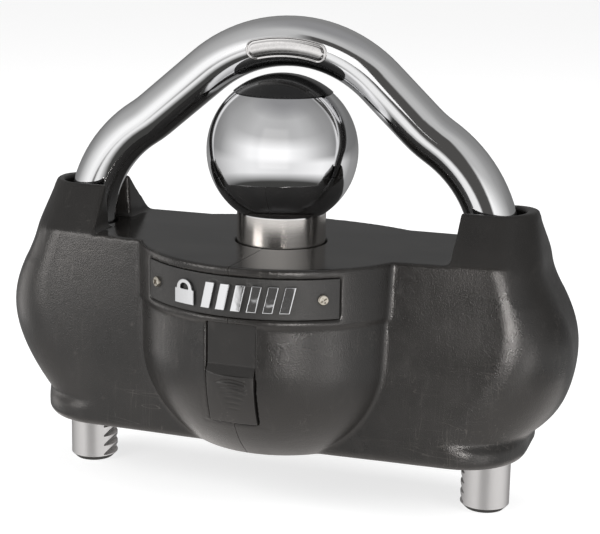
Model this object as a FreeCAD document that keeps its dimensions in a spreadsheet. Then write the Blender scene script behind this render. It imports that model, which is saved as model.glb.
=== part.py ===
import FreeCAD, Part
import math
import os
import Sketcher
from FreeCAD import Placement, Rotation, Vector

# Ball-type trailer coupler lock, in millimetres.
# Origin: centre of the ball. +X to the right, +Y to the back, +Z up.

os.makedirs("parts", exist_ok=True)
doc = FreeCAD.newDocument("coupler_lock")

SIZES = {
    "ball_radius": 23.8,
    "ball_flat": 18.5,
    "neck_radius": 14.1,
    "neck_foot": -33.0,
    "shank_radius": 9.5,
    "shank_foot": -56.5,
    "spigot_radius": 4.0,
    "spigot_depth": 6.0,
    "cap_proud": 0.35,
    "washer_radius": 15.0,
    "washer_thick": 2.5,
    "nut_flats": 28.6,
    "nut_height": 9.0,
    "core_top": -33.0,
    "core_seat": -44.0,
    "core_foot": -88.8,
    "core_back": 18.0,
    "core_half_depth": 13.0,
    "mid_plane": 5.0,
    "leg_spread": 68.0,
    "bar_radius": 7.8,
    "leg_end": -111.0,
    "leg_bore": 8.2,
    "ear_bore": 8.5,
    "bend_start": -29.5,
    "tooth_pitch": 3.3,
    "tooth_depth": 2.0,
    "tooth_count": 12,
    "deck": -28.6,
    "base_foot": -92.0,
    "plate_thick": 3.0,
    "boss_radius": 46.3,
    "band_radius": 47.0,
    "band_foot": -46.0,
    "boss_drop": 42.0,
    "boss_knee": -60.0,
    "wall": 4.0,
    "seam_gap": 0.12,
    "lock_height": -71.5,
    "shell_radius": 10.0,
    "plug_radius": 6.2,
    "plug_bore": 6.28,
    "lock_front": -32.6,
    "shell_back": -6.0,
    "disc_radius": 13.2,
    "disc_front": -5.2,
    "disc_thick": 4.0,
    "pin_orbit": 8.0,
    "bolt_throw": 2.2,
    "bolt_side": 8.0,
    "bolt_tip": 59.5,
    "slide_half": 7.6,
    "slide_middle": -2.0,
    "slide_top": -46.0,
    "slide_foot": -78.0,
    "plate_top": -31.4,
    "plate_height": 12.3,
    "plate_angle": 41.3,
    "badge_screw_angle": 34.8,
    "seam_turn": -3.0,
    "crown_half": 28.2,
    "crown_height": 33.65,
    "crown_shift": 1.5,
}

sheet = doc.addObject("Spreadsheet::Sheet", "Sizes")
for row, (alias, value) in enumerate(SIZES.items(), start=1):
    sheet.set("A%d" % row, alias)
    sheet.set("B%d" % row, str(value))
    sheet.setAlias("B%d" % row, alias)
doc.recompute()


def size(alias):
    return float(sheet.get(alias))


YC = size("mid_plane")
NODES = []


def expression(text):
    """A formula in words, with every alias pointed at the sheet."""
    words = []
    for word in text.split():
        words.append("Sizes." + word if word in SIZES else word)
    return " ".join(words)


def bind(obj, **formulas):
    for name, text in formulas.items():
        obj.setExpression(name.replace("__", "."), expression(text))
    return obj


def place(obj, x="0", y="0", z="0", turn=None):
    if turn is not None:
        obj.Placement = Placement(Vector(0, 0, 0), turn)
    for axis, text in (("x", x), ("y", y), ("z", z)):
        obj.setExpression("Placement.Base." + axis, expression(text) + " + 0")
    return obj


ALONG_X = Rotation(Vector(0, 1, 0), 90)
ALONG_Y = Rotation(Vector(1, 0, 0), -90)


def cylinder(label, radius, height, x="0", y="0", z="0", turn=None):
    obj = doc.addObject("Part::Cylinder", label)
    bind(obj, Radius=radius, Height=height)
    return place(obj, x, y, z, turn)


def box(label, length, width, height, x="0", y="0", z="0"):
    obj = doc.addObject("Part::Box", label)
    bind(obj, Length=length, Width=width, Height=height)
    return place(obj, x, y, z)


def fuse(label, *shapes):
    obj = doc.addObject("Part::MultiFuse", label)
    obj.Shapes = list(shapes)
    return obj


def cut(label, base, *tools):
    obj = doc.addObject("Part::Cut", label)
    obj.Base = base
    obj.Tool = tools[0] if len(tools) == 1 else fuse(label + "_tools", *tools)
    return obj


def feature(label, shape):
    obj = doc.addObject("Part::Feature", label)
    obj.Shape = shape
    return obj


def keep(obj, node):
    """Names an object as one of the lock's separate pieces."""
    obj.Label = node
    NODES.append(obj)
    return obj


def plane_of(body, role):
    for item in body.Origin.OriginFeatures:
        if item.Role == role:
            return item
    raise ValueError(role)


def sketch_on(body, role):
    sketch = body.newObject("Sketcher::SketchObject", body.Name + "_sketch")
    sketch.AttachmentSupport = (plane_of(body, role), [""])
    sketch.MapMode = "FlatFace"
    return sketch


def add_outline(sketch, points):
    """Closed run of straight lines; returns the first line's index."""
    first = sketch.GeometryCount
    count = len(points)
    for i in range(count):
        a = Vector(points[i][0], points[i][1], 0)
        b = Vector(points[(i + 1) % count][0], points[(i + 1) % count][1], 0)
        sketch.addGeometry(Part.LineSegment(a, b), False)
    for i in range(count):
        nxt = first + (i + 1) % count
        sketch.addConstraint(Sketcher.Constraint("Coincident", first + i, 2, nxt, 1))
    return first


# ---------------------------------------------------------------- ball


def make_ball():
    r = size("ball_radius")
    flat = size("ball_flat")
    neck = size("neck_radius")
    shank = size("shank_radius")
    spigot = size("spigot_radius")
    seat = flat - size("spigot_depth")
    foot = size("neck_foot")
    end = size("shank_foot")
    body = doc.addObject("PartDesign::Body", "ball")
    sketch = sketch_on(body, "XZ_Plane")
    start = math.acos(neck / r)
    stop = math.asin(flat / r)
    rim = (r * math.cos(stop), flat)
    throat = (neck, -r * math.sin(start))
    arc = Part.ArcOfCircle(Part.Circle(Vector(0, 0, 0), Vector(0, 0, 1), r), -start, stop)
    points = [rim, (spigot, flat), (spigot, seat), (0, seat), (0, end)]
    points += [(shank - 1, end), (shank, end + 1), (shank, foot), (neck, foot), throat]
    for a, b in zip(points[:-1], points[1:]):
        sketch.addGeometry(Part.LineSegment(Vector(*a, 0), Vector(*b, 0)), False)
    sketch.addGeometry(arc, False)
    turn = body.newObject("PartDesign::Revolution", "ball_turn")
    turn.Profile = sketch
    turn.ReferenceAxis = (sketch, ["V_Axis"])
    turn.Angle = 360
    keep(body, "ball")


def make_ball_cap():
    dome = doc.addObject("Part::Sphere", "cap_dome")
    bind(dome, Radius="ball_radius + cap_proud")
    room = box("cap_room", "60", "60", "20", "-30", "-30", "ball_flat")
    top = doc.addObject("Part::Common", "cap_top")
    top.Base = dome
    top.Tool = room
    foot = "ball_flat - spigot_depth + 0.5"
    spigot = cylinder("cap_spigot", "spigot_radius - 0.1", "spigot_depth", z=foot)
    keep(fuse("ball_cap", top, spigot), "ball_cap")


def make_ball_washer():
    foot = "core_seat - washer_thick"
    ring = cylinder("washer_ring", "washer_radius", "washer_thick", z=foot)
    hole = cylinder("washer_hole", "shank_radius + 0.4", "20", z="core_seat - 10")
    split = box("washer_split", "20", "1.6", "20", "5", "-0.8", "core_seat - 10")
    keep(cut("ball_washer", ring, hole, split), "ball_washer")


def make_ball_nut():
    body = doc.addObject("PartDesign::Body", "ball_nut")
    sketch = sketch_on(body, "XY_Plane")
    foot = "core_seat - washer_thick - nut_height"
    sketch.setExpression("AttachmentOffset.Base.z", expression(foot) + " + 0")
    corner = size("nut_flats") / 2 / math.cos(math.pi / 6)
    ends = [(corner * math.cos(math.pi / 3 * k), corner * math.sin(math.pi / 3 * k)) for k in range(6)]
    add_outline(sketch, ends)
    hole = sketch.addGeometry(Part.Circle(Vector(0, 0, 0), Vector(0, 0, 1), 9.6), False)
    index = sketch.addConstraint(Sketcher.Constraint("Radius", hole, 9.6))
    sketch.setExpression("Constraints[%d]" % index, expression("shank_radius + 0.1"))
    pad = body.newObject("PartDesign::Pad", "nut_pad")
    pad.Profile = sketch
    bind(pad, Length="nut_height")
    keep(body, "ball_nut")


# ------------------------------------------------------------- shackle


def shackle_half(span, slope):
    """Half of the bar's centre line, from a leg's end to the crown: (x, z) points per edge.

    It bends in, bends back to the slope in degrees, runs straight and rises round the crown.
    """
    x = span
    z = size("bend_start")
    steps = [[(x, size("leg_end")), (x, z)]]
    heading = 90.0
    for radius, target in ((41.0, 147.5), (-40.0, 180.0 - slope)):
        side = math.copysign(1.0, radius)
        r = abs(radius)
        a, mid, end = (math.radians(d) for d in (heading, (heading + target) / 2, target))
        cx = x - side * r * math.sin(a)
        cz = z + side * r * math.cos(a)
        points = [(cx + side * r * math.sin(t), cz - side * r * math.cos(t)) for t in (mid, end)]
        steps.append([(x, z)] + points)
        x, z = points[-1]
        heading = target
    t = math.radians(slope)
    crown_radius = size("crown_half") / math.sin(t)
    z_top = z + (x - size("crown_half")) * math.tan(t)
    steps.append([(x, z), (size("crown_half"), z_top)])
    mid = (crown_radius * math.sin(t / 2), z_top + crown_radius * (math.cos(t / 2) - math.cos(t)))
    crown = z_top + crown_radius * (1 - math.cos(t))
    steps.append([(size("crown_half"), z_top), mid, (0.0, crown)])
    return steps


def half_to_crown(span):
    """The half whose crown comes out at the set height."""
    low, high = 30.0, 55.0
    for _ in range(40):
        slope = (low + high) / 2
        if shackle_half(span, slope)[-1][-1][1] < size("crown_height"):
            low = slope
        else:
            high = slope
    return shackle_half(span, slope)


def shackle_bar():
    """The crown stands a little to the right of the middle."""
    shift = size("crown_shift")
    edges = []
    for side in (1, -1):
        for step in half_to_crown(size("leg_spread") - side * shift):
            where = [Vector(side * x + shift, YC, z) for x, z in step]
            if len(where) == 2:
                edges.append(Part.makeLine(where[0], where[1]))
            else:
                edges.append(Part.Arc(where[0], where[1], where[2]).toShape())
    path = Part.Wire(Part.__sortEdges__(edges))
    start = Vector(size("leg_spread"), YC, size("leg_end"))
    ring = Part.Wire(Part.makeCircle(size("bar_radius"), start, Vector(0, 0, 1)))
    return path.makePipeShell([ring], True, True)


def tooth_cutter(side, height):
    """Sawtooth gap on a leg's inner side: flat below, ramp above."""
    inner = size("leg_spread") - size("bar_radius")
    deep = inner + size("tooth_depth")
    profile = [(inner - 2, height - 1.3), (deep, height - 1.3), (deep, height - 0.7)]
    profile += [(inner - 2, height + 4.1)]
    points = [Vector(side * x, YC - 10, z) for x, z in profile]
    return Part.Face(Part.makePolygon(points + points[:1])).extrude(Vector(0, 20, 0))


def make_shackle():
    bar = shackle_bar()
    r = size("bar_radius")
    end = size("leg_end")
    cutters = []
    for side in (1, -1):
        foot = Vector(side * size("leg_spread"), YC, end)
        sleeve = Part.makeCylinder(r + 2, 1.6, foot)
        cone = Part.makeCone(r - 1.6, r, 1.6, foot)
        cutters.append(sleeve.cut(cone))
        for i in range(int(size("tooth_count"))):
            height = size("lock_height") - size("tooth_pitch") * i
            cutters.append(tooth_cutter(side, height))
    keep(feature("shackle", bar.cut(Part.Compound(cutters))), "shackle")


# ------------------------------------------------------------- housing

# height, half length, front and back corner radius, front depth at the end and at the middle
LOBE = [
    (-28.6, 83.6, 15.3, 14.0, 20.0, 26.7),
    (-42.0, 89.0, 16.5, 15.0, 21.0, 26.2),
    (-57.0, 93.7, 21.5, 17.0, 22.2, 25.8),
    (-70.0, 92.2, 27.0, 18.5, 23.0, 25.5),
    (-79.0, 88.1, 30.0, 17.0, 23.4, 25.3),
    (-84.0, 82.6, 27.0, 14.5, 23.6, 25.2),
]
BASE = (-92.0, 79.6, 20.2, 12.5, 22.3, 23.7)
BAND = [LOBE[-1], (-86.6, 81.0, 21.5, 13.0, 23.6, 25.0), (-90.2, 81.0, 21.5, 13.0, 23.6, 25.0), BASE]
EAR = (-14.5, 80.0, 12.2, 6.5, 9.6, 9.6)
BACK_DEPTH = 25.0


def outline(side, row, x0, first_depth, back_depth, inset=0.0):
    """Closed wire of one half of the body at one height, with rounded end corners."""
    z, length, front, back, depth = row[:5]
    w = length - inset
    f = front - inset
    b = back - inset
    de = depth - inset
    k = math.sqrt(0.5)
    p = [
        (x0, YC - first_depth),
        (w - f, YC - de),
        (w - f + f * k, YC - de + f * (1 - k)),
        (w, YC - de + f),
        (w, YC + back_depth - b),
        (w - b + b * k, YC + back_depth - b * (1 - k)),
        (w - b, YC + back_depth),
        (x0, YC + back_depth),
    ]
    v = [Vector(side * x, y, z) for x, y in p]
    edges = [
        Part.makeLine(v[0], v[1]),
        Part.Arc(v[1], v[2], v[3]).toShape(),
        Part.makeLine(v[3], v[4]),
        Part.Arc(v[4], v[5], v[6]).toShape(),
        Part.makeLine(v[6], v[7]),
        Part.makeLine(v[7], v[0]),
    ]
    return Part.Wire(edges)


def lobe_section(side, row, inset=0.0, start=0.0):
    end_depth, mid_depth = row[4:]
    slope = (mid_depth - end_depth) / (row[1] - row[2])
    return outline(side, row, start, mid_depth - inset - slope * start, BACK_DEPTH - inset, inset)


def lobe_solid(side, inset=0.0, top=None):
    rows = list(LOBE)
    if top is not None:
        rows[0] = (top,) + tuple(a + (b - a) * 0.4 for a, b in zip(LOBE[0][1:], LOBE[1][1:]))
    upper = Part.makeLoft([lobe_section(side, row, inset) for row in rows], True, False)
    lower = Part.makeLoft([lobe_section(side, row, inset) for row in BAND], True, True)
    return upper.fuse(lower)


def ear_solid(side):
    """Leaning wall round a leg, above the deck."""
    start = 58.0
    low = lobe_section(side, LOBE[0], 0.0, start)
    top = outline(side, EAR, start + 0.5, EAR[5], EAR[5])
    return Part.makeLoft([low, top], True, True)


def boss_solid(inset=0.0, top=None, foot=None):
    """Round front of the body: upright above the knee, bowl below it."""
    r = size("boss_radius") - inset
    drop = size("boss_drop") - inset
    knee = size("boss_knee")
    top = size("deck") if top is None else top
    foot = size("base_foot") if foot is None else foot
    steps = 14
    stop = math.asin((knee - foot) / drop)
    curve = []
    for i in range(steps + 1):
        a = stop * i / steps
        curve.append(Vector(r * math.cos(a), 0, knee - drop * math.sin(a)))
    spline = Part.BSplineCurve()
    spline.interpolate(curve, InitialTangent=Vector(0, 0, -1), FinalTangent=curve[-1] - curve[-2])
    edges = [
        Part.makeLine(Vector(0, 0, top), Vector(r, 0, top)),
        Part.makeLine(Vector(r, 0, top), curve[0]),
        spline.toShape(),
        Part.makeLine(curve[-1], Vector(0, 0, foot)),
        Part.makeLine(Vector(0, 0, foot), Vector(0, 0, top)),
    ]
    face = Part.Face(Part.Wire(edges))
    solid = face.revolve(Vector(0, 0, 0), Vector(0, 0, 1), 360)
    solid.translate(Vector(0, YC, 0))
    return solid.common(Part.makeBox(120, 75, 120, Vector(-60, -55, -110)))


def rim_band():
    """Slightly proud band round the top of the boss, which holds the badge."""
    top = size("deck")
    ring = Part.makeCylinder(size("band_radius"), top - size("band_foot"), Vector(0, YC, size("band_foot")))
    return ring.common(Part.makeBox(120, 50, 60, Vector(-60, -55, -80)))


def back_bulge(inset=0.0, top=None):
    """Shallow swelling behind the ball, bevelled off at the foot."""
    top = size("deck") if top is None else top
    r = 85.0 - inset
    centre = Vector(0, -47.5, -80.0)
    drum = Part.makeCylinder(r, top + 80.0, centre)
    drum = drum.fuse(Part.makeCone(r - 9.0, r, 9.0, centre - Vector(0, 0, 9)))
    return drum.common(Part.makeBox(100, 60, 120, Vector(-50, 0, -100)))


def body_outside():
    lobes = [lobe_solid(1), lobe_solid(-1), ear_solid(1), ear_solid(-1)]
    return boss_solid().fuse(lobes + [back_bulge(), rim_band()])


def body_inside(spare=0.0):
    """Hollow of the body, or less by spare all round."""
    top = size("neck_foot")
    wall = size("wall") + spare
    rooms = [lobe_solid(1, wall, top), lobe_solid(-1, wall, top), back_bulge(wall, top)]
    return boss_solid(wall, top, size("base_foot") + 4).fuse(rooms)


def slide_guide():
    """Thick front wall that the keyway cover runs in."""
    block = Part.makeBox(28, 18, 52, Vector(-14, -49.5, -81))
    return block.common(boss_solid().fuse(rim_band()))


def slide_room():
    """Space swept by the keyway cover, with its side grooves, window and corner notches."""
    half = size("slide_half") + 0.3
    foot = size("slide_foot") - 0.3
    left = size("slide_middle") - half
    tall = -31.0 - foot
    run = Part.makeBox(2 * half, 6.7, tall, Vector(left, -39.8, foot))
    grooves = Part.makeBox(2 * half + 3.6, 2.3, tall, Vector(left - 1.8, -35.4, foot))
    window = Part.makeBox(2 * half, 12, size("band_foot") - foot, Vector(left, -50, foot))
    notches = Part.makeBox(2 * half + 4.4, 12, 1.1, Vector(left - 2.2, -50, foot))
    return run.fuse([grooves, window, notches])


def badge_pocket():
    r = size("band_radius")
    a = size("plate_angle") + 0.4
    low = size("plate_top") - size("plate_height") - 0.2
    return badge_sector(r - 1.3, r + 3, low, size("plate_top") + 0.2, -a, a)


def badge_screw_axis(side):
    a = math.radians(side * size("badge_screw_angle") + size("seam_turn"))
    return Vector(math.sin(a), -math.cos(a), 0)


def badge_screw_height():
    return size("plate_top") - size("plate_height") / 2


def housing_shell():
    outside = body_outside()
    guide = slide_guide()
    shell = outside.cut(body_inside()).fuse(guide)
    deck = size("deck")
    cutters = [slide_room(), badge_pocket(), bible_box(0.15)]
    cutters.append(Part.makeCylinder(size("neck_radius") + 0.3, 12, Vector(0, 0, deck - 8)))
    cutters.append(Part.makeCylinder(size("shell_radius") + 0.4, 30, Vector(0, -33.4, size("lock_height")), Vector(0, 1, 0)))
    for side in (1, -1):
        x = side * size("leg_spread")
        r = size("ear_bore")
        cutters.append(Part.makeCylinder(r, 25, Vector(x, YC, deck - 8)))
        cutters.append(Part.makeCylinder(size("leg_bore"), 20, Vector(x, YC, size("base_foot") - 1)))
        cutters.append(Part.makeBox(16, 2 * r, 20, Vector(x - side * 8 - 8, YC - r, deck)))
        axis = badge_screw_axis(side)
        foot = Vector(0, YC, badge_screw_height()) + axis * 36
        cutters.append(Part.makeCylinder(1.15, 14, foot, axis))
    return shell.cut(Part.Compound(cutters))


def make_housings():
    shell = housing_shell()
    gap = size("seam_gap") / 2
    for node, corner in (("housing_right", gap), ("housing_left", -gap - 200)):
        half = Part.makeBox(200, 200, 120, Vector(corner, -100, -110))
        half.rotate(Vector(0, YC, 0), Vector(0, 0, 1), size("seam_turn"))
        keep(feature(node, shell.common(half)), node)


# ---------------------------------------------------------------- core


def core_block():
    half = size("core_half_depth")
    foot = size("core_foot")
    tall = size("core_top") - foot
    spread = size("leg_spread")
    bar = Part.makeBox(2 * spread, 2 * half, tall, Vector(-spread, YC - half, foot))
    parts = [Part.makeCylinder(half, tall, Vector(side * spread, YC, foot)) for side in (1, -1)]
    middle = Part.makeBox(48, size("core_back") + 8, tall, Vector(-24, -8, foot))
    chin = Part.makeBox(48, 15, tall - 1.2, Vector(-24, -22, foot + 1.2))
    nose_back = Vector(0, -22, size("lock_height"))
    nose = Part.makeCylinder(14, 8.8, nose_back, Vector(0, -1, 0))
    return bar.fuse(parts + [middle, chin, nose]).common(body_inside(0.4))


def bible_box(grow=0.0):
    z = size("lock_height") + 4
    front = size("lock_front")
    return Part.makeBox(7.6 + 2 * grow, 20.0 + grow, 9.0 + grow, Vector(-3.8 - grow, front + 0.6, z))


def core_spaces():
    lock = size("lock_height")
    spread = size("leg_spread")
    foot = size("core_foot")
    front = size("lock_front")
    room = size("core_back") + 17
    spaces = [
        Part.makeBox(36, room, 41.2, Vector(-18, -16, -85.2)),
        Part.makeCylinder(size("shank_radius") + 0.4, 14, Vector(0, 0, size("core_seat") - 1)),
        Part.makeCylinder(size("shell_radius") + 0.05, 40, Vector(0, front - 1, lock), Vector(0, 1, 0)),
        bible_box(0.1).fuse(bible_box(0.1).translated(Vector(0, -4, 0))),
        Part.makeBox(126, 8.8, 8.8, Vector(-63, YC - 4.4, lock - 4.4)),
        Part.makeCylinder(1.6, 30, Vector(-15, -19, lock - 10.2), Vector(1, 0, 0)),
    ]
    for side in (1, -1):
        spaces.append(Part.makeCylinder(size("leg_bore"), 80, Vector(side * spread, YC, foot - 5)))
    for x, y in base_screw_spots():
        spaces.append(Part.makeCylinder(1.7, 10.4, Vector(x, y, foot)))
    for x, z in cover_screw_spots():
        spaces.append(Part.makeCylinder(1.7, 9, Vector(x, size("core_back"), z), Vector(0, -1, 0)))
    return spaces


def base_screw_spots():
    return [(side * x, YC + y) for side in (1, -1) for x, y in ((30.0, -7.5), (30.0, 7.5), (50.0, 0.0))]


def cover_screw_spots():
    return [(side * 21.0, z) for side in (1, -1) for z in (-40.0, -82.0)]


def make_core():
    block = core_block().cut(core_spaces()[0])
    for space in core_spaces()[1:]:
        block = block.cut(space)
    keep(feature("core", block), "core")


def make_core_cover():
    body = doc.addObject("PartDesign::Body", "core_cover")
    sketch = sketch_on(body, "XZ_Plane")
    sketch.setExpression("AttachmentOffset.Base.z", "-" + expression("core_back") + " - 0.05")
    add_outline(sketch, [(-24, -86.5), (24, -86.5), (24, -35.5), (-24, -35.5)])
    for x, z in cover_screw_spots():
        sketch.addGeometry(Part.Circle(Vector(x, z, 0), Vector(0, 0, 1), 2.2), False)
    pad = body.newObject("PartDesign::Pad", "core_cover_pad")
    pad.Profile = sketch
    bind(pad, Length="plate_thick")
    pad.Reversed = True
    keep(body, "core_cover")


def screw_shape(head, bar, length, foot, axis, sunk=False):
    """Cross-recessed screw; foot is the underside of its head, axis points in."""
    tall = head * 0.6
    base = Vector(*foot)
    way = Vector(*axis)
    if sunk:
        top = Part.makeCone(head, bar, tall, base - way * tall, way)
    else:
        top = Part.makeCylinder(head, tall, base - way * tall, way)
        rim = [e for e in top.Edges if abs(e.CenterOfMass.distanceToPoint(base - way * tall)) < 0.01]
        top = top.makeFillet(tall * 0.45, rim[:1])
    shank = Part.makeCylinder(bar, length, base - way * 0.2, way)
    screw = top.fuse(shank)
    turn = Rotation(Vector(0, 0, 1), way)
    for spin in (0, 90):
        slot = Part.makeBox(head * 1.3, head * 0.28, tall * 0.6, Vector(-head * 0.65, -head * 0.14, 0))
        slot.rotate(Vector(0, 0, 0), Vector(0, 0, 1), spin)
        slot.Placement = Placement(base - way * (tall + 0.001), turn).multiply(slot.Placement)
        screw = screw.cut(slot)
    return screw


def make_cover_screws():
    y = size("core_back") + 0.05 + size("plate_thick")
    spots = [screw_shape(3.5, 1.6, 10.5, (x, y, z), (0, -1, 0)) for x, z in cover_screw_spots()]
    keep(feature("core_cover_screws", Part.Compound(spots)), "core_cover_screws")


# ---------------------------------------------------------- base plate


def make_base_plate():
    inset = size("wall") + 0.15
    halves = []
    for side in (1, -1):
        face = Part.Face(lobe_section(side, BASE, inset))
        halves.append(face.extrude(Vector(0, 0, size("plate_thick"))))
    plate = halves[0].fuse(halves[1]).removeSplitter()
    foot = size("base_foot") - 1
    for side in (1, -1):
        hole = Part.makeCylinder(size("leg_bore"), 6, Vector(side * size("leg_spread"), YC, foot))
        plate = plate.cut(hole)
    for x, y in base_screw_spots():
        plate = plate.cut(Part.makeCylinder(1.8, 6, Vector(x, y, foot)))
        plate = plate.cut(Part.makeCone(3.85, 1.8, 2.2, Vector(x, y, size("base_foot"))))
    keep(feature("base_plate", plate), "base_plate")


def make_base_screws():
    z = size("base_foot") + 2.1
    spots = [screw_shape(3.5, 1.6, 11.0, (x, y, z), (0, 0, 1), True) for x, y in base_screw_spots()]
    keep(feature("base_screws", Part.Compound(spots)), "base_screws")


# --------------------------------------------------------------- badge


def badge_sector(inner, outer, low, high, a, b):
    """Curved tile between two radii, two heights and two angles in degrees from the seam."""
    tall = high - low
    ring = Part.makeCylinder(outer, tall, Vector(0, YC, low))
    ring = ring.cut(Part.makeCylinder(inner, tall + 2, Vector(0, YC, low - 1)))
    corners = [Vector(0, YC, low - 1)]
    for angle in (a, b):
        t = math.radians(angle + size("seam_turn"))
        corners.append(Vector(90 * math.sin(t), YC - 90 * math.cos(t), low - 1))
    sector = Part.Face(Part.makePolygon(corners + corners[:1])).extrude(Vector(0, 0, tall + 2))
    return ring.common(sector)


def make_nameplate():
    r = size("band_radius")
    top = size("plate_top")
    edge = size("plate_angle")
    plate = badge_sector(r - 1.25, r - 0.05, top - size("plate_height"), top, -edge, edge)
    for side in (1, -1):
        axis = badge_screw_axis(side)
        foot = Vector(0, YC, badge_screw_height()) + axis * 40
        plate = plate.cut(Part.makeCylinder(1.25, 12, foot, axis))
    keep(feature("nameplate", plate), "nameplate")


def make_emblem():
    """Row of raised slanted bars with a plain padlock outline before them."""
    r = size("band_radius")
    middle = badge_screw_height()
    half = 4.1
    skin = badge_sector(r - 0.05, r + 0.95, middle - half, middle + half, -28, 28)
    bars = []
    for i in range(6):
        x = -10.2 + 4.9 * i
        corners = [(x - 1.1, -half), (x + 1.9, -half), (x + 3.7, half), (x + 0.7, half)]
        points = [Vector(px, -60, middle + pz) for px, pz in corners]
        prism = Part.Face(Part.makePolygon(points + points[:1])).extrude(Vector(0, 60, 0))
        bars.append(skin.common(prism))
    x = -17.2
    lock = Part.makeBox(7, 60, 4.7, Vector(x - 3.5, -60, middle - half))
    bow = Part.makeCylinder(2.8, 60, Vector(x, -60, middle + 0.8), Vector(0, 1, 0))
    bow = bow.cut(Part.makeCylinder(1.5, 62, Vector(x, -61, middle + 0.8), Vector(0, 1, 0)))
    bars.append(skin.common(lock.fuse(bow)))
    keep(feature("emblem", Part.Compound(bars)), "emblem")


def make_badge_screws():
    r = size("band_radius") - 0.05
    screws = []
    for side in (1, -1):
        axis = badge_screw_axis(side)
        foot = Vector(0, YC, badge_screw_height()) + axis * r
        way = axis * -1
        screws.append(screw_shape(1.65, 1.1, 6.5, tuple(foot), tuple(way)))
    keep(feature("nameplate_screws", Part.Compound(screws)), "nameplate_screws")


# -------------------------------------------------------- keyway cover


def make_keyway_cover():
    """Sliding door: thin at the top, then flush with the boss, with a grooved thumb rest."""
    half = size("slide_half")
    foot = size("slide_foot")
    middle = size("slide_middle")
    left = middle - half
    tall = size("slide_top") - foot
    slab = Part.makeBox(2 * half, 12, tall, Vector(left, -45.5, foot)).common(boss_solid(-0.7))
    side = [(-39.6, -40.0), (-39.6, -59.1), (-41.6, -62.0), (-60.0, -62.0), (-60.0, -40.0)]
    points = [Vector(-20, y, z) for y, z in side]
    slab = slab.cut(Part.Face(Part.makePolygon(points + points[:1])).extrude(Vector(40, 0, 0)))
    wings = Part.makeBox(2 * half + 3, 1.7, tall, Vector(left - 1.5, -35.2, foot))
    slab = slab.fuse(wings)
    keeper = Part.makeBox(10.4, 20, 16, Vector(middle - 5.2, -50, -76))
    for i in range(6):
        z = -63.6 - 1.85 * i
        y = -math.sqrt((size("boss_radius") + 0.7) ** 2 - middle ** 2) + YC + 0.06 * i * i
        groove = Part.makeTorus(16.0, 0.75, Vector(middle, y, z - 16.0), Vector(0, 1, 0))
        slab = slab.cut(groove.common(keeper))
    keep(feature("keyway_cover", slab.removeSplitter()), "keyway_cover")


# ------------------------------------------------------- lock cylinder


PIN_SPOTS = (-29.5, -25.5, -21.5, -17.5)


def make_lock_shell():
    front = size("lock_front")
    lock = size("lock_height")
    shell = Part.makeCylinder(size("shell_radius"), size("shell_back") - front, Vector(0, front, lock), Vector(0, 1, 0))
    shell = shell.fuse(bible_box())
    shell = shell.cut(Part.makeCylinder(size("plug_bore"), 60, Vector(0, -50, lock), Vector(0, 1, 0)))
    for y in PIN_SPOTS:
        shell = shell.cut(Part.makeCylinder(1.5, 7.0, Vector(0, y, lock + 5)))
    shell = shell.cut(Part.makeCylinder(1.6, 30, Vector(-15, -19, lock - 10.2), Vector(1, 0, 0)))
    keep(feature("lock_shell", shell), "lock_shell")


def make_lock_plug():
    front = size("lock_front")
    lock = size("lock_height")
    back = size("disc_front") - 0.4
    plug = Part.makeCylinder(size("plug_radius"), back - front, Vector(0, front, lock), Vector(0, 1, 0))
    tail = Part.makeBox(6, 0.4 + size("disc_thick"), 6, Vector(-3, back, lock - 3))
    plug = plug.fuse(tail)
    plug = plug.cut(Part.makeBox(1.6, 22, 8.6, Vector(-0.8, front - 1, lock - 4.8)))
    plug = plug.cut(Part.makeBox(2.8, 22, 1.6, Vector(-0.8, front - 1, lock - 2.2)))
    for y in PIN_SPOTS:
        plug = plug.cut(Part.makeCylinder(1.4, 8, Vector(0, y, lock + 1.4)))
    plug = plug.cut(Part.makeCylinder(1.3, 12, Vector(0, back - 6, lock), Vector(0, 1, 0)))
    keep(feature("lock_plug", plug), "lock_plug")


def make_tumblers():
    lock = size("lock_height")
    key = []
    driver = []
    spring = []
    for i, y in enumerate(PIN_SPOTS):
        length = 3.6 + 0.5 * (i % 3)
        top = lock + size("plug_radius") - 0.25
        pin = Part.makeCylinder(1.3, length - 1, Vector(0, y, top - length + 1))
        key.append(pin.fuse(Part.makeCone(0.5, 1.3, 1.0, Vector(0, y, top - length))))
        base = lock + size("plug_bore") + 0.05
        driver.append(Part.makeCylinder(1.3, 2.2, Vector(0, y, base)))
        spring.append(coil(1.0, 0.22, 2.9, 4, Vector(0, y, base + 2.35)))
    keep(feature("key_pins", Part.Compound(key)), "key_pins")
    keep(feature("driver_pins", Part.Compound(driver)), "driver_pins")
    keep(feature("pin_springs", Part.Compound(spring)), "pin_springs")


def coil(radius, wire, length, turns, foot, axis=None):
    helix = Part.makeHelix((length - 2 * wire) / turns, length - 2 * wire, radius)
    start = helix.Edges[0].Vertexes[0].Point
    ring = Part.Wire(Part.makeCircle(wire, start, Vector(0, 1, 0)))
    spring = Part.Wire(helix.Edges).makePipeShell([ring], True, True)
    spring.translate(Vector(0, 0, wire))
    if axis is not None:
        spring.rotate(Vector(0, 0, 0), axis, 90)
    spring.translate(foot)
    return spring


def make_lock_pin():
    pin = cylinder("lock_pin", "1.5", "24", "-12", "-19", "lock_height - 10.2", ALONG_X)
    keep(pin, "lock_pin")


# ------------------------------------------------------- cam and bolts


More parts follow.
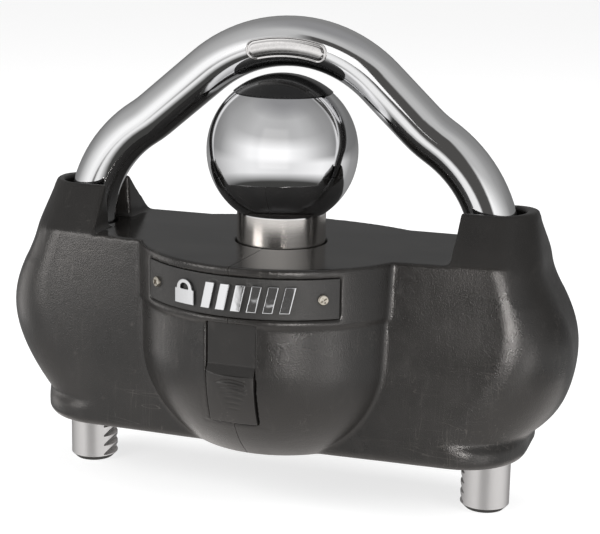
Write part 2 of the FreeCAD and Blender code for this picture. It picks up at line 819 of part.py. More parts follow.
def spiral_slot(turn):
    """Slot whose radius grows evenly with angle, so the bolts move evenly."""
    orbit = size("pin_orbit")
    throw = size("bolt_throw")
    half = 1.8
    lock = size("lock_height")
    y = size("disc_front") - 1
    steps = 18
    inner = []
    outer = []
    for i in range(steps + 1):
        a = math.pi / 2 * i / steps
        r = orbit + throw * i / steps
        way = (math.cos(a + turn), math.sin(a + turn))
        inner.append(Vector((r - half) * way[0], y, lock + (r - half) * way[1]))
        outer.append(Vector((r + half) * way[0], y, lock + (r + half) * way[1]))
    loop = inner + outer[::-1]
    slot = Part.Face(Part.makePolygon(loop + loop[:1])).extrude(Vector(0, 6, 0))
    for a, r in ((0.0, orbit), (math.pi / 2, orbit + throw)):
        end = Vector(r * math.cos(a + turn), y, lock + r * math.sin(a + turn))
        slot = slot.fuse(Part.makeCylinder(half, 6, end, Vector(0, 1, 0)))
    return slot


def make_cam_disc():
    front = size("disc_front")
    lock = size("lock_height")
    disc = Part.makeCylinder(size("disc_radius"), size("disc_thick"), Vector(0, front, lock), Vector(0, 1, 0))
    disc = disc.cut(Part.makeBox(6.04, 8, 6.04, Vector(-3.02, front - 2, lock - 3.02)))
    for turn in (0.0, math.pi):
        disc = disc.cut(spiral_slot(turn))
    keep(feature("cam_disc", disc), "cam_disc")


def make_cam_screw():
    y = size("disc_front") + size("disc_thick")
    screw = screw_shape(4.4, 1.25, 6.0, (0, y, size("lock_height")), (0, -1, 0))
    trim = Part.makeBox(20, 3, 20, Vector(-10, y + 1.4, size("lock_height") - 10))
    keep(feature("cam_screw", screw.cut(trim)), "cam_screw")


def bolt_shape(side):
    lock = size("lock_height")
    half = size("bolt_side") / 2
    tip = size("bolt_tip")
    inner = 5.2
    profile = [(inner, -half), (tip - 3, -half), (tip - 3, -1.0), (tip, -1.0), (tip, -0.55)]
    profile += [(tip - 2.4, 2.33), (tip - 3, half), (inner, half)]
    points = [Vector(side * x, YC - half, lock + z) for x, z in profile]
    bolt = Part.Face(Part.makePolygon(points + points[:1])).extrude(Vector(0, 2 * half, 0))
    front = size("disc_front") + 0.2
    peg = Vector(side * size("pin_orbit"), front, lock)
    bolt = bolt.fuse(Part.makeCylinder(1.5, YC - half - front + 0.5, peg, Vector(0, 1, 0)))
    seat = Part.makeCylinder(2.8, 8.5, Vector(side * (inner - 0.5), YC, lock), Vector(side, 0, 0))
    return bolt.cut(seat)


def make_bolts():
    keep(feature("bolt_right", bolt_shape(1)), "bolt_right")
    keep(feature("bolt_left", bolt_shape(-1)), "bolt_left")
    reach = 12.9
    foot = Vector(-reach, YC, size("lock_height"))
    spring = coil(2.0, 0.4, 2 * reach, 14, foot, Vector(0, 1, 0))
    keep(feature("bolt_spring", spring), "bolt_spring")


# --------------------------------------------------------------- build


def check_and_write():
    doc.recompute()
    for obj in doc.Objects:
        if "Invalid" in obj.State or "Error" in obj.State:
            raise RuntimeError("%s did not compute: %s" % (obj.Label, obj.State))
    for obj in NODES:
        shape = obj.Shape
        if shape.isNull() or not shape.isValid() or not shape.Solids:
            raise RuntimeError("%s has a bad shape" % obj.Label)
        print("%-18s solids %d volume %.1f mm3" % (obj.Label, len(shape.Solids), shape.Volume))
        shape.exportStep("parts/%s.step" % obj.Label)


make_ball()
make_ball_cap()
make_ball_washer()
make_ball_nut()
make_shackle()
make_housings()
make_core()
make_core_cover()
make_cover_screws()
make_base_plate()
make_base_screws()
make_nameplate()
make_emblem()
make_badge_screws()
make_keyway_cover()
make_lock_shell()
make_lock_plug()
make_tumblers()
make_lock_pin()
make_cam_disc()
make_cam_screw()
make_bolts()
check_and_write()
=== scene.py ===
import math

import bmesh
import bpy
from mathutils import Matrix, Vector
from mathutils.bvhtree import BVHTree


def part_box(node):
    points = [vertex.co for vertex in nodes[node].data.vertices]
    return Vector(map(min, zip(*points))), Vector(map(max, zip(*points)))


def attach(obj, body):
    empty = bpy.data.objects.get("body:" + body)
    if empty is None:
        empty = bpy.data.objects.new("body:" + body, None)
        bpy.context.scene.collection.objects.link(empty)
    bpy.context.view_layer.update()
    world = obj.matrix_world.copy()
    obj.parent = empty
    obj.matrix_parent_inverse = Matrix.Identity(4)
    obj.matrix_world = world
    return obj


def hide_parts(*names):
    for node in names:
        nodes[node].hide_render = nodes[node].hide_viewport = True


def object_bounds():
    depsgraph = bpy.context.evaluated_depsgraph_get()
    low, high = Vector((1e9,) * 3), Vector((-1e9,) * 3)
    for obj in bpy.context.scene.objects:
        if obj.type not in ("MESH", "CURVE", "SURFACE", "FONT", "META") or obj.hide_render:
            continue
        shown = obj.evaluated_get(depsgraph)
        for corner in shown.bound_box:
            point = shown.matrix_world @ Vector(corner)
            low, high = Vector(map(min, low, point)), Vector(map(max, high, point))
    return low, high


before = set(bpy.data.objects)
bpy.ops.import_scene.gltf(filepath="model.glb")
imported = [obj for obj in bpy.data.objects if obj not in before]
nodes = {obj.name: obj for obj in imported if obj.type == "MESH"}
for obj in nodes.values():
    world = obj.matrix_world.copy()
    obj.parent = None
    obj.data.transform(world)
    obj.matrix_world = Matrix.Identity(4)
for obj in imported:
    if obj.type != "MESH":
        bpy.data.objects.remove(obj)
cad_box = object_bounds()
MM = 0.001


# ------------------------------------------------------------ node trees


class Tree:
    """Short names for building a shader's node tree."""

    def __init__(self, owner):
        owner.use_nodes = True
        self.tree = owner.node_tree
        self.tree.nodes.clear()

    def add(self, kind, inputs=None, **settings):
        node = self.tree.nodes.new(kind)
        for name, value in settings.items():
            setattr(node, name, value)
        for name, value in (inputs or {}).items():
            self.put(node.inputs[name], value)
        return node

    def put(self, socket, value):
        if isinstance(value, bpy.types.NodeSocket):
            self.tree.links.new(value, socket)
        else:
            socket.default_value = value

    def place(self, scale=(1, 1, 1)):
        spot = self.add("ShaderNodeTexCoord").outputs["Object"]
        return self.add("ShaderNodeMapping", {"Vector": spot, "Scale": scale}).outputs["Vector"]

    def noise(self, per_metre, detail=3.0, rough=0.55, scale=(1, 1, 1), warp=0.0):
        inputs = {
            "Vector": self.place(scale), "Scale": per_metre, "Detail": detail,
            "Roughness": rough, "Distortion": warp,
        }
        return self.add("ShaderNodeTexNoise", inputs).outputs["Fac"]

    def ramp(self, factor, stops):
        """stops: (position, grey or colour) pairs."""
        node = self.add("ShaderNodeValToRGB", {"Fac": factor})
        row = node.color_ramp.elements
        while len(row) < len(stops):
            row.new(0.5)
        for element, (spot, tone) in zip(row, stops):
            element.position = spot
            element.color = (tone, tone, tone, 1) if isinstance(tone, float) else (*tone, 1)
        return node.outputs["Color"]

    def span(self, value, low, high, to_low, to_high):
        inputs = {"Value": value, "From Min": low, "From Max": high, "To Min": to_low, "To Max": to_high}
        return self.add("ShaderNodeMapRange", inputs).outputs["Result"]

    def sums(self, kind, a, b):
        node = self.add("ShaderNodeMath", operation=kind)
        self.put(node.inputs[0], a)
        self.put(node.inputs[1], b)
        return node.outputs[0]

    def height(self):
        spot = self.add("ShaderNodeTexCoord").outputs["Object"]
        return self.add("ShaderNodeSeparateXYZ", {"Vector": spot}).outputs["Z"]

    def mix(self, factor, a, b):
        node = self.add("ShaderNodeMix", data_type="RGBA")
        self.put(node.inputs[0], factor)
        self.put(node.inputs[6], a)
        self.put(node.inputs[7], b)
        return node.outputs[2]

    def bump(self, height, strength, distance, under=None):
        inputs = {"Height": height, "Strength": strength, "Distance": distance}
        if under is not None:
            inputs["Normal"] = under
        return self.add("ShaderNodeBump", inputs).outputs["Normal"]

    def surface(self, **inputs):
        named = {name.replace("_", " "): value for name, value in inputs.items()}
        shader = self.add("ShaderNodeBsdfPrincipled", named)
        self.add("ShaderNodeOutputMaterial", {"Surface": shader.outputs[0]})


def shade(*tone):
    return (*tone, 1.0)


def scaled(tone, factor):
    return shade(*[factor * c for c in tone])


def new_material(name):
    made = bpy.data.materials.new(name)
    return made, Tree(made)


def add_object(name, data):
    made = bpy.data.objects.new(name, data)
    bpy.context.scene.collection.objects.link(made)
    return made


def between(t, value, low, high, edge):
    """1 from low to high and 0 outside, with edges this wide."""
    rise = t.span(value, low - edge, low, 0.0, 1.0)
    return t.sums("MULTIPLY", rise, t.span(value, high, high + edge, 1.0, 0.0))


# ------------------------------------------------------------- materials


def moulded(name, dark, light, gloss, grain, grain_depth, deck=None):
    """Moulded black plastic: fine skin, slow unevenness, rubs, scratches, and convex edges lightened
    partly as wear and partly as a painted highlight.

    A level top at the height deck is smoother and a little streaked.
    """
    made, t = new_material(name)
    skin = t.noise(grain, 2.0, 0.5)
    slow = t.noise(45.0, 3.0)
    rub = t.noise(260.0, 6.0, 0.7, (1.0, 0.2, 0.35), 0.8)
    tone = t.mix(t.span(slow, 0.3, 0.7, 0.0, 1.0), shade(*dark), shade(*light))
    tone = t.mix(t.span(rub, 0.58, 0.78, 0.0, 0.7), tone, scaled(light, 2.2))
    # two sets of fine scratches, each along its own lean and only in patches
    for lean in ((0.05, 1.0, 0.6), (0.9, 1.0, 0.06)):
        line = between(t, t.noise(620.0, 1.0, 0.5, lean, 0.6), 0.585, 0.592, 0.006)
        patch = t.span(t.noise(38.0, 2.0), 0.5, 0.7, 0.0, 0.5)
        tone = t.mix(t.sums("MULTIPLY", line, patch), tone, scaled(light, 6.0))
    # convex edges and rims are lightened in patches: partly wear, partly a painted highlight along the
    # rims
    sharp = t.add("ShaderNodeNewGeometry").outputs["Pointiness"]
    edge = t.span(sharp, 0.53, 0.62, 0.0, 1.0)
    edge_wear_and_highlight = t.sums("MULTIPLY", edge, t.span(t.noise(400.0), 0.3, 0.6, 0.25, 0.8))
    tone = t.mix(edge_wear_and_highlight, tone, scaled(light, 3.0))
    rough = t.span(slow, 0.3, 0.7, gloss - 0.05, gloss + 0.05)
    rough = t.sums("ADD", rough, t.span(rub, 0.5, 0.8, 0.0, 0.09))
    waves = t.bump(t.noise(110.0, 2.0), 0.35, 0.2 * MM)
    normal = t.bump(skin, 0.6, grain_depth, waves)
    if deck is not None:
        facing = t.add("ShaderNodeNewGeometry").outputs["Normal"]
        up = t.add("ShaderNodeSeparateXYZ", {"Vector": facing}).outputs["Z"]
        level = t.span(t.height(), deck - 0.5 * MM, deck - 0.1 * MM, 0.0, 1.0)
        top = t.sums("MULTIPLY", level, t.span(up, 0.85, 0.97, 0.0, 1.0))
        streak = t.span(t.noise(90.0, 5.0, 0.65, (0.25, 1.0, 1.0), 0.5), 0.3, 0.75, 0.13, 0.28)
        rough = t.mix(top, rough, streak)
        even = t.bump(t.noise(500.0, 3.0), 0.25, 0.03 * MM)
        normal = t.mix(top, normal, even)
    t.surface(Base_Color=tone, Roughness=rough, Normal=normal, Specular_IOR_Level=0.42)
    return made


def chrome(name, tone, satin_below=None, ring_grain=False, cast=0.0):
    """Bright plate over metal, uneven by cast (metres) if it is plated plastic or a casting.

    Below satin_below (metres) the metal is turned, with ring_grain, or else satin.
    """
    made, t = new_material(name)
    smudge = t.noise(90.0, 4.0)
    rough = t.span(smudge, 0.35, 0.75, 0.04, 0.1)
    colour = shade(*tone)
    normal = t.bump(t.noise(130.0, 2.0), 0.12, 0.05 * MM)
    if cast:
        normal = t.bump(t.noise(170.0, 2.0, 0.5), 0.6, cast, normal)
    if satin_below is not None:
        part = t.span(t.height(), satin_below - 0.3 * MM, satin_below + 0.3 * MM, 1.0, 0.0)
        if ring_grain:
            grain = t.noise(45.0, 3.0, 0.6, (1, 1, 500))
            satin = t.span(grain, 0.3, 0.7, 0.16, 0.26)
            bare = shade(0.66, 0.63, 0.6)
        else:
            grain = t.noise(2600.0, 2.0)
            satin = t.span(grain, 0.3, 0.7, 0.3, 0.38)
            bare = shade(0.74, 0.72, 0.71)
        rough = t.mix(part, rough, satin)
        colour = t.mix(part, colour, bare)
        deep = t.sums("MULTIPLY", part, grain)
        normal = t.bump(deep, 0.1, 0.02 * MM, normal)
    t.surface(Base_Color=colour, Metallic=1.0, Roughness=rough, Normal=normal)
    return made


def metal(name, tone, low, high, grain=700.0, depth=0.04, scale=(1, 1, 1), stain=0.12):
    """Plain worked metal with grain, stains and uneven shine."""
    made, t = new_material(name)
    fine = t.noise(grain, 4.0, 0.6, scale)
    slow = t.noise(110.0, 4.0)
    darker = scaled(tone, 1 - 3 * stain)
    colour = t.mix(t.span(slow, 0.35, 0.7, 0.0, 1.0), shade(*tone), darker)
    rough = t.span(fine, 0.3, 0.7, low, high)
    normal = t.bump(fine, 0.4, depth * MM)
    t.surface(Base_Color=colour, Metallic=1.0, Roughness=rough, Normal=normal)
    return made


def painted(name, tone, gloss):
    """Dark paint with a fine orange-peel skin and slow unevenness."""
    made, t = new_material(name)
    fine = t.noise(1600.0, 2.0)
    slow = t.noise(70.0, 4.0)
    lighter = scaled(tone, 1.8)
    colour = t.mix(t.span(slow, 0.35, 0.75, 0.0, 1.0), shade(*tone), lighter)
    rough = t.span(slow, 0.3, 0.7, gloss - 0.05, gloss + 0.06)
    t.surface(Base_Color=colour, Roughness=rough, Normal=t.bump(fine, 0.4, 0.04 * MM))
    return made


NECK_TOP = -19.4 * MM
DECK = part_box("nameplate")[1].z + 2.9 * MM
BODY_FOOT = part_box("housing_left")[0].z

MATERIALS = {
    "chrome_ball": chrome("ball_chrome", (0.82, 0.82, 0.83), NECK_TOP, True),
    "chrome_bar": chrome("bar_chrome", (0.83, 0.83, 0.835), BODY_FOOT + 6 * MM),
    "cap_plastic": moulded(
        "cap_plastic", (0.005, 0.005, 0.005), (0.009, 0.009, 0.009), 0.14, 900.0, 0.01 * MM
    ),
    "jacket": moulded(
        "jacket_plastic", (0.0075, 0.0070, 0.0065), (0.012, 0.0111, 0.0103), 0.3, 2300.0, 0.11 * MM, DECK
    ),
    "cover_plastic": moulded(
        "cover_plastic", (0.008, 0.0075, 0.007), (0.013, 0.0122, 0.0115), 0.4, 1900.0, 0.04 * MM
    ),
    "badge_plastic": moulded(
        "badge_plastic", (0.008, 0.008, 0.008), (0.013, 0.013, 0.0125), 0.5, 2600.0, 0.10 * MM
    ),
    "badge_chrome": chrome("badge_chrome", (0.84, 0.84, 0.85), cast=0.25 * MM),
    "label": metal("label_satin", (0.88, 0.86, 0.85), 0.1, 0.2, 1500.0, 0.02, stain=0.03),
    "nickel_screws": metal("nickel", (0.78, 0.72, 0.62), 0.16, 0.3),
    "zinc_steel": metal("zinc_plate", (0.60, 0.61, 0.62), 0.28, 0.42),
    "core_iron": metal("cast_iron", (0.13, 0.13, 0.135), 0.5, 0.75, 900.0, 0.2),
    "core_steel": metal("ground_steel", (0.48, 0.48, 0.49), 0.25, 0.42, 60.0, 0.03, (1, 30, 30)),
    "base_steel": painted("black_paint", (0.018, 0.018, 0.018), 0.38),
    "lock_brass": metal("turned_brass", (0.72, 0.52, 0.22), 0.2, 0.34),
    "spring_steel": metal("spring_wire", (0.55, 0.55, 0.57), 0.22, 0.36),
}

SLOT_NODES = {
    "chrome_ball": ["ball"],
    "chrome_bar": ["shackle"],
    "cap_plastic": ["ball_cap"],
    "jacket": ["housing_right", "housing_left"],
    "cover_plastic": ["keyway_cover"],
    "badge_plastic": ["nameplate"],
    "badge_chrome": ["emblem"],
    "nickel_screws": ["nameplate_screws"],
    "zinc_steel": ["ball_washer", "ball_nut", "base_screws", "core_cover_screws", "cam_screw"],
    "core_iron": ["core"],
    "core_steel": ["core_cover", "cam_disc", "bolt_right", "bolt_left"],
    "base_steel": ["base_plate"],
    "lock_brass": ["lock_shell", "lock_plug", "key_pins", "driver_pins", "lock_pin"],
    "spring_steel": ["pin_springs", "bolt_spring"],
}


# ------------------------------------------------------- softened edges

# node, grid size in mm and smoothing rounds: moulded and cast edges are never sharp
SOFT_EDGES = [
    ("base_plate", 0.9, 3),
    ("keyway_cover", 0.2, 2),
    ("nameplate", 0.2, 2),
    ("emblem", 0.13, 12),
    ("core", 0.9, 3),
]


def soften(piece, grid, rounds):
    """Round every edge of the piece: an even grid of faces (mm), smoothed so many rounds."""
    remesh = piece.modifiers.new("grid", "REMESH")
    remesh.mode = "VOXEL"
    remesh.voxel_size = grid * MM
    remesh.use_smooth_shade = True
    ease = piece.modifiers.new("ease", "SMOOTH")
    ease.factor = 0.5
    ease.iterations = rounds


for node, grid, rounds in SOFT_EDGES:
    soften(nodes[node], grid, rounds)


# ---------------------------------------------------------------- jacket

SEAM_TURN = math.radians(-3.0)
SEAM_GAP = 0.1 * MM
SEAM_FACE = 0.09 * MM
SEAM_OVERLAP_MM = 0.45
CUT_TOLERANCE = 1e-7
MID_Y = sum(corner.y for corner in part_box("shackle")) / 2
JACKET_GRID_MM = 0.6
JACKET_ROUNDS = 6
COVER_TRAVEL = 13 * MM
PATH_MARGIN = 1.5 * MM
PATH_BEHIND = 2 * MM
PATH_TOUCH = 0.03 * MM
PATH_SUNK_MM = 0.06
EAR_OUTSIDE = 76 * MM
EAR_STEP = (-40 * MM, -17 * MM)
EAR_ROUNDS = 60


def seam_plane():
    """A point on the seam between the halves, and the direction across it."""
    return Vector((0, MID_Y, 0)), Vector((math.cos(SEAM_TURN), math.sin(SEAM_TURN), 0))


def joined_halves():
    """Both halves as one mesh, each pushed a little past the seam so that they merge."""
    origin, across = seam_plane()
    whole = bmesh.new()
    for node, side in (("housing_right", -1), ("housing_left", 1)):
        first = len(whole.verts)
        whole.from_mesh(nodes[node].data)
        whole.verts.ensure_lookup_table()
        for vert in whole.verts[first:]:
            if abs((vert.co - origin).dot(across)) < SEAM_FACE:
                vert.co += across * side * SEAM_OVERLAP_MM * MM
    mesh = bpy.data.meshes.new("jacket_whole")
    whole.to_mesh(mesh)
    whole.free()
    return mesh


def split_half(mesh, name, side):
    """The part of the mesh on one side of the seam, closed with a flat cut."""
    origin, across = seam_plane()
    half = bmesh.new()
    half.from_mesh(mesh)
    cut = bmesh.ops.bisect_plane(
        half, geom=half.verts[:] + half.edges[:] + half.faces[:], dist=CUT_TOLERANCE,
        plane_co=origin + across * side * SEAM_GAP, plane_no=across * side, clear_inner=True,
    )
    rim = [part for part in cut["geom_cut"] if isinstance(part, bmesh.types.BMEdge)]
    for face in half.faces:
        face.smooth = True
    bmesh.ops.triangle_fill(half, use_beauty=True, edges=rim, normal=-across * side)
    for edge in rim:
        edge.smooth = False
    made = bpy.data.meshes.new(name)
    half.to_mesh(made)
    half.free()
    return made


def ease_ears(mesh):
    """The outer side of each ear runs into the body with no step."""
    shape = bmesh.new()
    shape.from_mesh(mesh)
    shape.normal_update()
    near = []
    for vert in shape.verts:
        outside = abs(vert.co.x) > EAR_OUTSIDE and abs(vert.normal.x) > 0.35
        if outside and EAR_STEP[0] < vert.co.z < EAR_STEP[1]:
            near.append(vert)
    for _ in range(EAR_ROUNDS):
        bmesh.ops.smooth_vert(
            shape, verts=near, factor=0.5, use_axis_x=True, use_axis_y=True, use_axis_z=True
        )
    shape.to_mesh(mesh)
    shape.free()


def clear_cover_path(mesh, exact):
    """Rounding fills no corner that the keyway cover slides past."""
    surface = BVHTree.FromPolygons(
        [vert.co for vert in exact.vertices], [tuple(face.vertices) for face in exact.polygons]
    )
    low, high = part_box("keyway_cover")
    for vert in mesh.vertices:
        spot = vert.co
        if not low.x - PATH_MARGIN < spot.x < high.x + PATH_MARGIN:
            continue
        if spot.y > high.y + PATH_BEHIND:
            continue
        if not low.z - PATH_MARGIN < spot.z < high.z + COVER_TRAVEL + PATH_MARGIN:
            continue
        place, facing, _, _ = surface.find_nearest(spot)
        if (spot - place).dot(facing) > -PATH_TOUCH:
            vert.co = place - facing * PATH_SUNK_MM * MM


def make_jacket():
    """The two housing halves again, with every moulded edge rounded and a crisp seam."""
    exact = joined_halves()
    maker = add_object("jacket_maker", exact)
    soften(maker, JACKET_GRID_MM, JACKET_ROUNDS)
    graph = bpy.context.evaluated_depsgraph_get()
    smooth = bpy.data.meshes.new_from_object(maker.evaluated_get(graph))
    bpy.data.objects.remove(maker)
    ease_ears(smooth)
    clear_cover_path(smooth, exact)
    for name, side in (("right", 1), ("left", -1)):
        mesh = split_half(smooth, "jacket_" + name, side)
        mesh.materials.append(MATERIALS["jacket"])
        piece = add_object("jacket_" + name, mesh)
        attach(piece, "lock_body")
        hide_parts("housing_" + name)


make_jacket()


# ----------------------------------------------------------- crown label

BAR = 7.8 * MM
CROWN_RADIUS = 42.6 * MM
LABEL = {"half": 13.3 * MM, "tall": 3.3 * MM, "tilt": math.radians(-10), "rim": 0.55 * MM}
LABEL_CELLS = (180, 56)
LABEL_SKIRT = 0.3 * MM
LABEL_ROOT = -0.6 * MM
LABEL_LIFT = 0.02 * MM
RIM_HEIGHT = 0.34 * MM
PAD = {"inset": 0.55 * MM, "lift": 0.03 * MM, "height": 0.2 * MM, "edge": 0.45 * MM}


def label_height(u, v):
    """How far the label stands off the bar: an oval rim round a plain raised pad."""
    run = LABEL["half"] - LABEL["tall"]
    away = math.hypot(max(abs(u) - run, 0.0), v) - LABEL["tall"]
    if away > 0:
        return -LABEL_SKIRT
    if away > -LABEL["rim"]:
        crest = math.sin(math.pi * min(-away / LABEL["rim"], 1.0)) ** 0.5
        return RIM_HEIGHT * crest + LABEL_LIFT
    inside = -away - LABEL["rim"] - PAD["inset"]
    return PAD["lift"] + PAD["height"] * max(0.0, min(1.0, inside / PAD["edge"])) ** 0.6


def bar_point(centre, u, v, lift):
    """A point over the crown's bar: u along it, v round it and lift above its surface."""
    round_bar = LABEL["tilt"] + v / BAR
    along = u / (CROWN_RADIUS + BAR * math.sin(LABEL["tilt"]))
    up = Vector((math.sin(along), 0, math.cos(along)))
    out = up * math.sin(round_bar) - Vector((0, 1, 0)) * math.cos(round_bar)
    return centre + up * CROWN_RADIUS + out * (BAR + lift)


def outer_loop(sheet):
    """The vertices round the edge of a sheet of rows, in order."""
    right = [row[-1] for row in sheet]
    left = [row[0] for row in sheet]
    return sheet[0] + right[1:] + sheet[-1][-2::-1] + left[-2:0:-1]


def make_label():
    """A thin shell on the front of the crown, closed by its sunken underside."""
    top = max(nodes["shackle"].data.vertices, key=lambda vert: vert.co.z).co
    centre = Vector((top.x, MID_Y, top.z - BAR - CROWN_RADIUS))
    across, down = LABEL_CELLS
    wide = LABEL["half"] + LABEL_SKIRT
    tall = LABEL["tall"] + LABEL_SKIRT
    mesh = bmesh.new()
    rows = []
    for under in (False, True):
        for j in range(down + 1):
            row = []
            for i in range(across + 1):
                u = wide * (2 * i / across - 1)
                v = tall * (2 * j / down - 1)
                lift = LABEL_ROOT if under else label_height(u, v)
                row.append(mesh.verts.new(bar_point(centre, u, v, lift)))
            rows.append(row)
    front, back = rows[:down + 1], rows[down + 1:]
    for sheet in (front, back):
        for j in range(down):
            for i in range(across):
                mesh.faces.new((sheet[j][i], sheet[j][i + 1], sheet[j + 1][i + 1], sheet[j + 1][i]))
    near, far = outer_loop(front), outer_loop(back)
    for k in range(len(near)):
        n = (k + 1) % len(near)
        mesh.faces.new((near[k], far[k], far[n], near[n]))
    bmesh.ops.recalc_face_normals(mesh, faces=mesh.faces[:])
    for face in mesh.faces:
        face.smooth = True
    made = bpy.data.meshes.new("crown_label")
    mesh.to_mesh(made)
    mesh.free()
    made.materials.append(MATERIALS["label"])
    piece = add_object("crown_label", made)
    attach(piece, "shackle")


make_label()

for slot, members in SLOT_NODES.items():
    for member in members:
        mesh = nodes[member].data
        mesh.materials.clear()
        mesh.materials.append(MATERIALS[slot])


# ----------------------------------------------------------------- stage


def add_floor():
    """Lit white paper, which doesn't show in reflections: the world does."""
    mesh = bpy.data.meshes.new("studio_floor")
    level = cad_box[0].z
    far = 6.0
    corners = [(-far, -far, level), (far, -far, level), (far, far, level), (-far, far, level)]
    mesh.from_pydata(corners, [], [(0, 1, 2, 3)])
    floor = add_object("studio_floor", mesh)
    made, t = new_material("floor_paper")
    t.surface(
        Base_Color=shade(0.5, 0.5, 0.5), Roughness=0.9,
        Emission_Color=shade(1.0, 1.0, 1.0), Emission_Strength=0.72,
    )
    mesh.materials.append(made)
    floor.visible_glossy = False
    floor.visible_diffuse = False
    floor.visible_shadow = False


def add_panel(name, spot, aim, width, tall, watts, only=None, tint=(1.0, 1.0, 1.0)):
    """A soft light that doesn't show in gloss; with only, it lights just those and does show."""
    light = bpy.data.lights.new(name, "AREA")
    light.shape = "RECTANGLE"
    light.size = width
    light.size_y = tall
    light.energy = watts
    lamp = add_object(name, light)
    lamp.location = spot
    lamp.rotation_euler = (Vector(aim) - Vector(spot)).to_track_quat("-Z", "Y").to_euler()
    lamp.visible_camera = False
    if only is None:
        lamp.visible_glossy = False
    else:
        lamp.light_linking.receiver_collection = only
        light.color = tint
    return lamp


# how bright the room is by azimuth in degrees: at eye level, below it and overhead
EYE_LEVEL = [
    (-180, 0.35), (-150, 0.75), (-122, 1.15), (-60, 1.15), (-38, 0.95), (-12, 0.6), (20, 0.25),
    (60, 0.2), (95, 0.17), (135, 0.2), (165, 0.28), (180, 0.35),
]
BELOW = [
    (-180, 0.6), (-145, 0.9), (-120, 1.0), (-60, 0.9), (-10, 1.1), (20, 0.9), (55, 0.35),
    (100, 0.25), (140, 0.3), (180, 0.6),
]
OVERHEAD = [
    (-180, 0.42), (-150, 0.5), (-123, 0.6), (-100, 0.58), (-69, 0.55), (-40, 0.58), (-20, 0.5),
    (0, 0.38), (40, 0.28), (75, 0.26), (135, 0.28), (165, 0.36), (180, 0.42),
]
ROOM_STRENGTH = 1.2
ZENITH = (0.26, 0.26, 0.265)
NADIR = (0.05, 0.05, 0.048)
GAP_TONE = (0.07, 0.068, 0.066)
GAP_SIDES = (-102, -66)
GAP_HEIGHTS = (-0.28, 0.6)
BACKDROP = (0.82, 0.82, 0.82)


def as_turn(azimuth):
    """Azimuth in degrees as 0 to 1."""
    return (azimuth + 180) / 360


def room(t, way):
    """Brightness of the room along a direction, and how far that direction is in the dark gap."""
    parts = t.add("ShaderNodeSeparateXYZ", {"Vector": way}).outputs
    high = parts["Z"]
    turn = t.span(t.sums("ARCTAN2", parts["Y"], parts["X"]), -math.pi, math.pi, 0.0, 1.0)
    rings = []
    for ring in (EYE_LEVEL, BELOW, OVERHEAD):
        rings.append(t.ramp(turn, [(as_turn(az), level / ROOM_STRENGTH) for az, level in ring]))
    tone = t.mix(t.span(high, -0.2, -0.06, 0.0, 1.0), rings[1], rings[0])
    tone = t.mix(t.span(high, 0.15, 0.45, 0.0, 1.0), tone, rings[2])
    tone = t.mix(t.span(high, 0.8, 0.98, 0.0, 1.0), tone, shade(*ZENITH))
    tone = t.mix(t.span(high, -0.62, -0.42, 1.0, 0.0), tone, shade(*NADIR))
    across = between(t, turn, as_turn(GAP_SIDES[0]), as_turn(GAP_SIDES[1]), 0.02)
    return tone, t.sums("MULTIPLY", across, between(t, high, *GAP_HEIGHTS, 0.06))


def add_world():
    """A room lit from the front, grey behind and overhead, with a dark gap before the object.

    Beyond the floor's edge it is as pale as the floor.
    """
    world = bpy.data.worlds.new("studio")
    bpy.context.scene.world = world
    t = Tree(world)
    tone, gap = room(t, t.add("ShaderNodeTexCoord").outputs["Generated"])
    seen = t.add("ShaderNodeLightPath").outputs["Is Camera Ray"]
    tone = t.mix(seen, t.mix(gap, tone, shade(*GAP_TONE)), shade(*BACKDROP))
    back = t.add("ShaderNodeBackground", {"Color": tone, "Strength": ROOM_STRENGTH})
    t.add("ShaderNodeOutputWorld", {"Surface": back.outputs[0]})


def fill_gap(lamp):
    """The lamp shines just what the gap takes away, for the pieces that it lights."""
    t = Tree(lamp.data)
    spot = t.add("ShaderNodeNewGeometry").outputs["Position"]
    way = t.add("ShaderNodeVectorMath", {"Vector": spot}, operation="NORMALIZE").outputs["Vector"]
    tone, gap = room(t, way)
    tone = t.mix(gap, shade(0, 0, 0), tone)
    glow = t.add("ShaderNodeEmission", {"Color": tone, "Strength": ROOM_STRENGTH})
    t.add("ShaderNodeOutputLight", {"Surface": glow.outputs[0]})


CAMERA_AT = (0.1557, -0.4703, 0.0816)
CAMERA_TURN = {"yaw": 17.61, "pitch": 13.52, "roll": 1.03}


def add_camera():
    """Slightly right of the front and a little above, with a long lens."""
    yaw, pitch, roll = (math.radians(angle) for angle in CAMERA_TURN.values())
    data = bpy.data.cameras.new("view")
    data.lens = 96.0
    data.sensor_width = 36.0
    data.clip_start = 0.01
    data.clip_end = 50.0
    camera = add_object("view", data)
    turn = Matrix.Rotation(yaw, 4, "Z") @ Matrix.Rotation(math.pi / 2 - pitch, 4, "X")
    turn = turn @ Matrix.Rotation(roll, 4, "Z")
    camera.matrix_world = Matrix.Translation(CAMERA_AT) @ turn
    bpy.context.scene.camera = camera


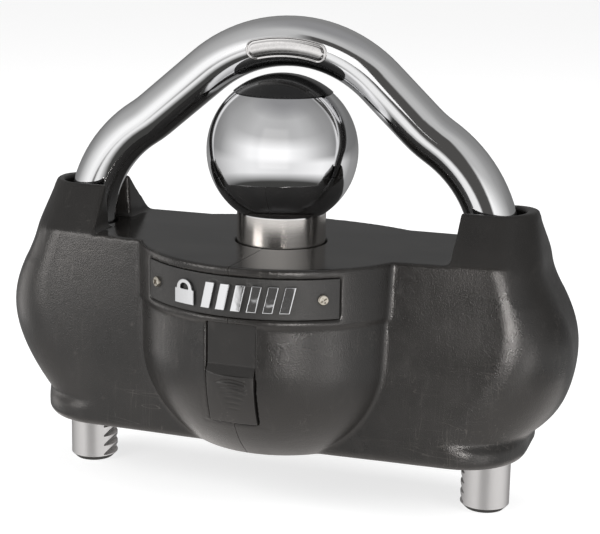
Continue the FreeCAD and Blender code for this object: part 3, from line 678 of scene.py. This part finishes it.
def light_only(name, pieces):
    """A collection of the pieces that some lights are kept to."""
    chosen = bpy.data.collections.new(name)
    for piece in pieces:
        chosen.objects.link(bpy.data.objects[piece])
    return chosen


HEART = (0, 0, -0.05)
MIDDLE = (0, 0, -0.03)
CORNER = (0.085, -0.02, -0.06)
WARM = (1.0, 0.955, 0.925)


def light_mouldings():
    """The plastic's highlights: right corner, bowl, left lobe, left end, and the floor's glow."""
    lit = light_only("mouldings", ["jacket_right", "jacket_left", "keyway_cover", "nameplate"])
    for name, spot, aim, width, tall, watts in (
        ("corner_softbox", (0.285, -0.665, -0.07), CORNER, 0.12, 0.19, 2.7),
        ("bowl_softbox", (0.56, -0.41, -0.25), HEART, 0.22, 0.17, 0.5),
        ("left_softbox", (-0.66, -0.68, 0.08), HEART, 0.4, 0.36, 3.0),
        ("side_softbox", (-0.9, 0.08, -0.16), HEART, 0.5, 0.4, 0.9),
        ("floor_glow", (0, 0, -0.6), HEART, 1.6, 1.6, 9.0),
    ):
        add_panel(name, spot, aim, width, tall, watts, lit, WARM)


def light_chrome():
    """The ball sees no gap in the room, and the crown of the bar sees a white panel in it."""
    ball = light_only("ball_only", ["ball", "ball_cap"])
    bar = light_only("bar_only", ["shackle"])
    wide, tall, middle = 2.9, 4.2, 0.95
    watts_for_unit_glow = math.pi * wide * tall
    sheet = add_panel(
        "ball_sheet", (0.31, -2.98, middle), (0, 0, middle), wide, tall, watts_for_unit_glow, ball
    )
    fill_gap(sheet)
    add_panel("bar_softbox", (-0.044, -0.25, 0.075), (-0.044, 0, 0.075), 0.152, 0.11, 0.06, bar)


add_floor()
add_world()
light_mouldings()
light_chrome()
add_panel("key_softbox", (-0.55, -0.75, 0.55), MIDDLE, 0.7, 0.7, 6.0)
add_panel("right_softbox", (0.75, -0.25, 0.6), MIDDLE, 0.5, 0.7, 4.0)
add_panel("top_softbox", (0.0, 0.35, 0.9), MIDDLE, 0.9, 0.6, 4.0)
add_camera()
bpy.context.scene.view_settings.view_transform = "Standard"
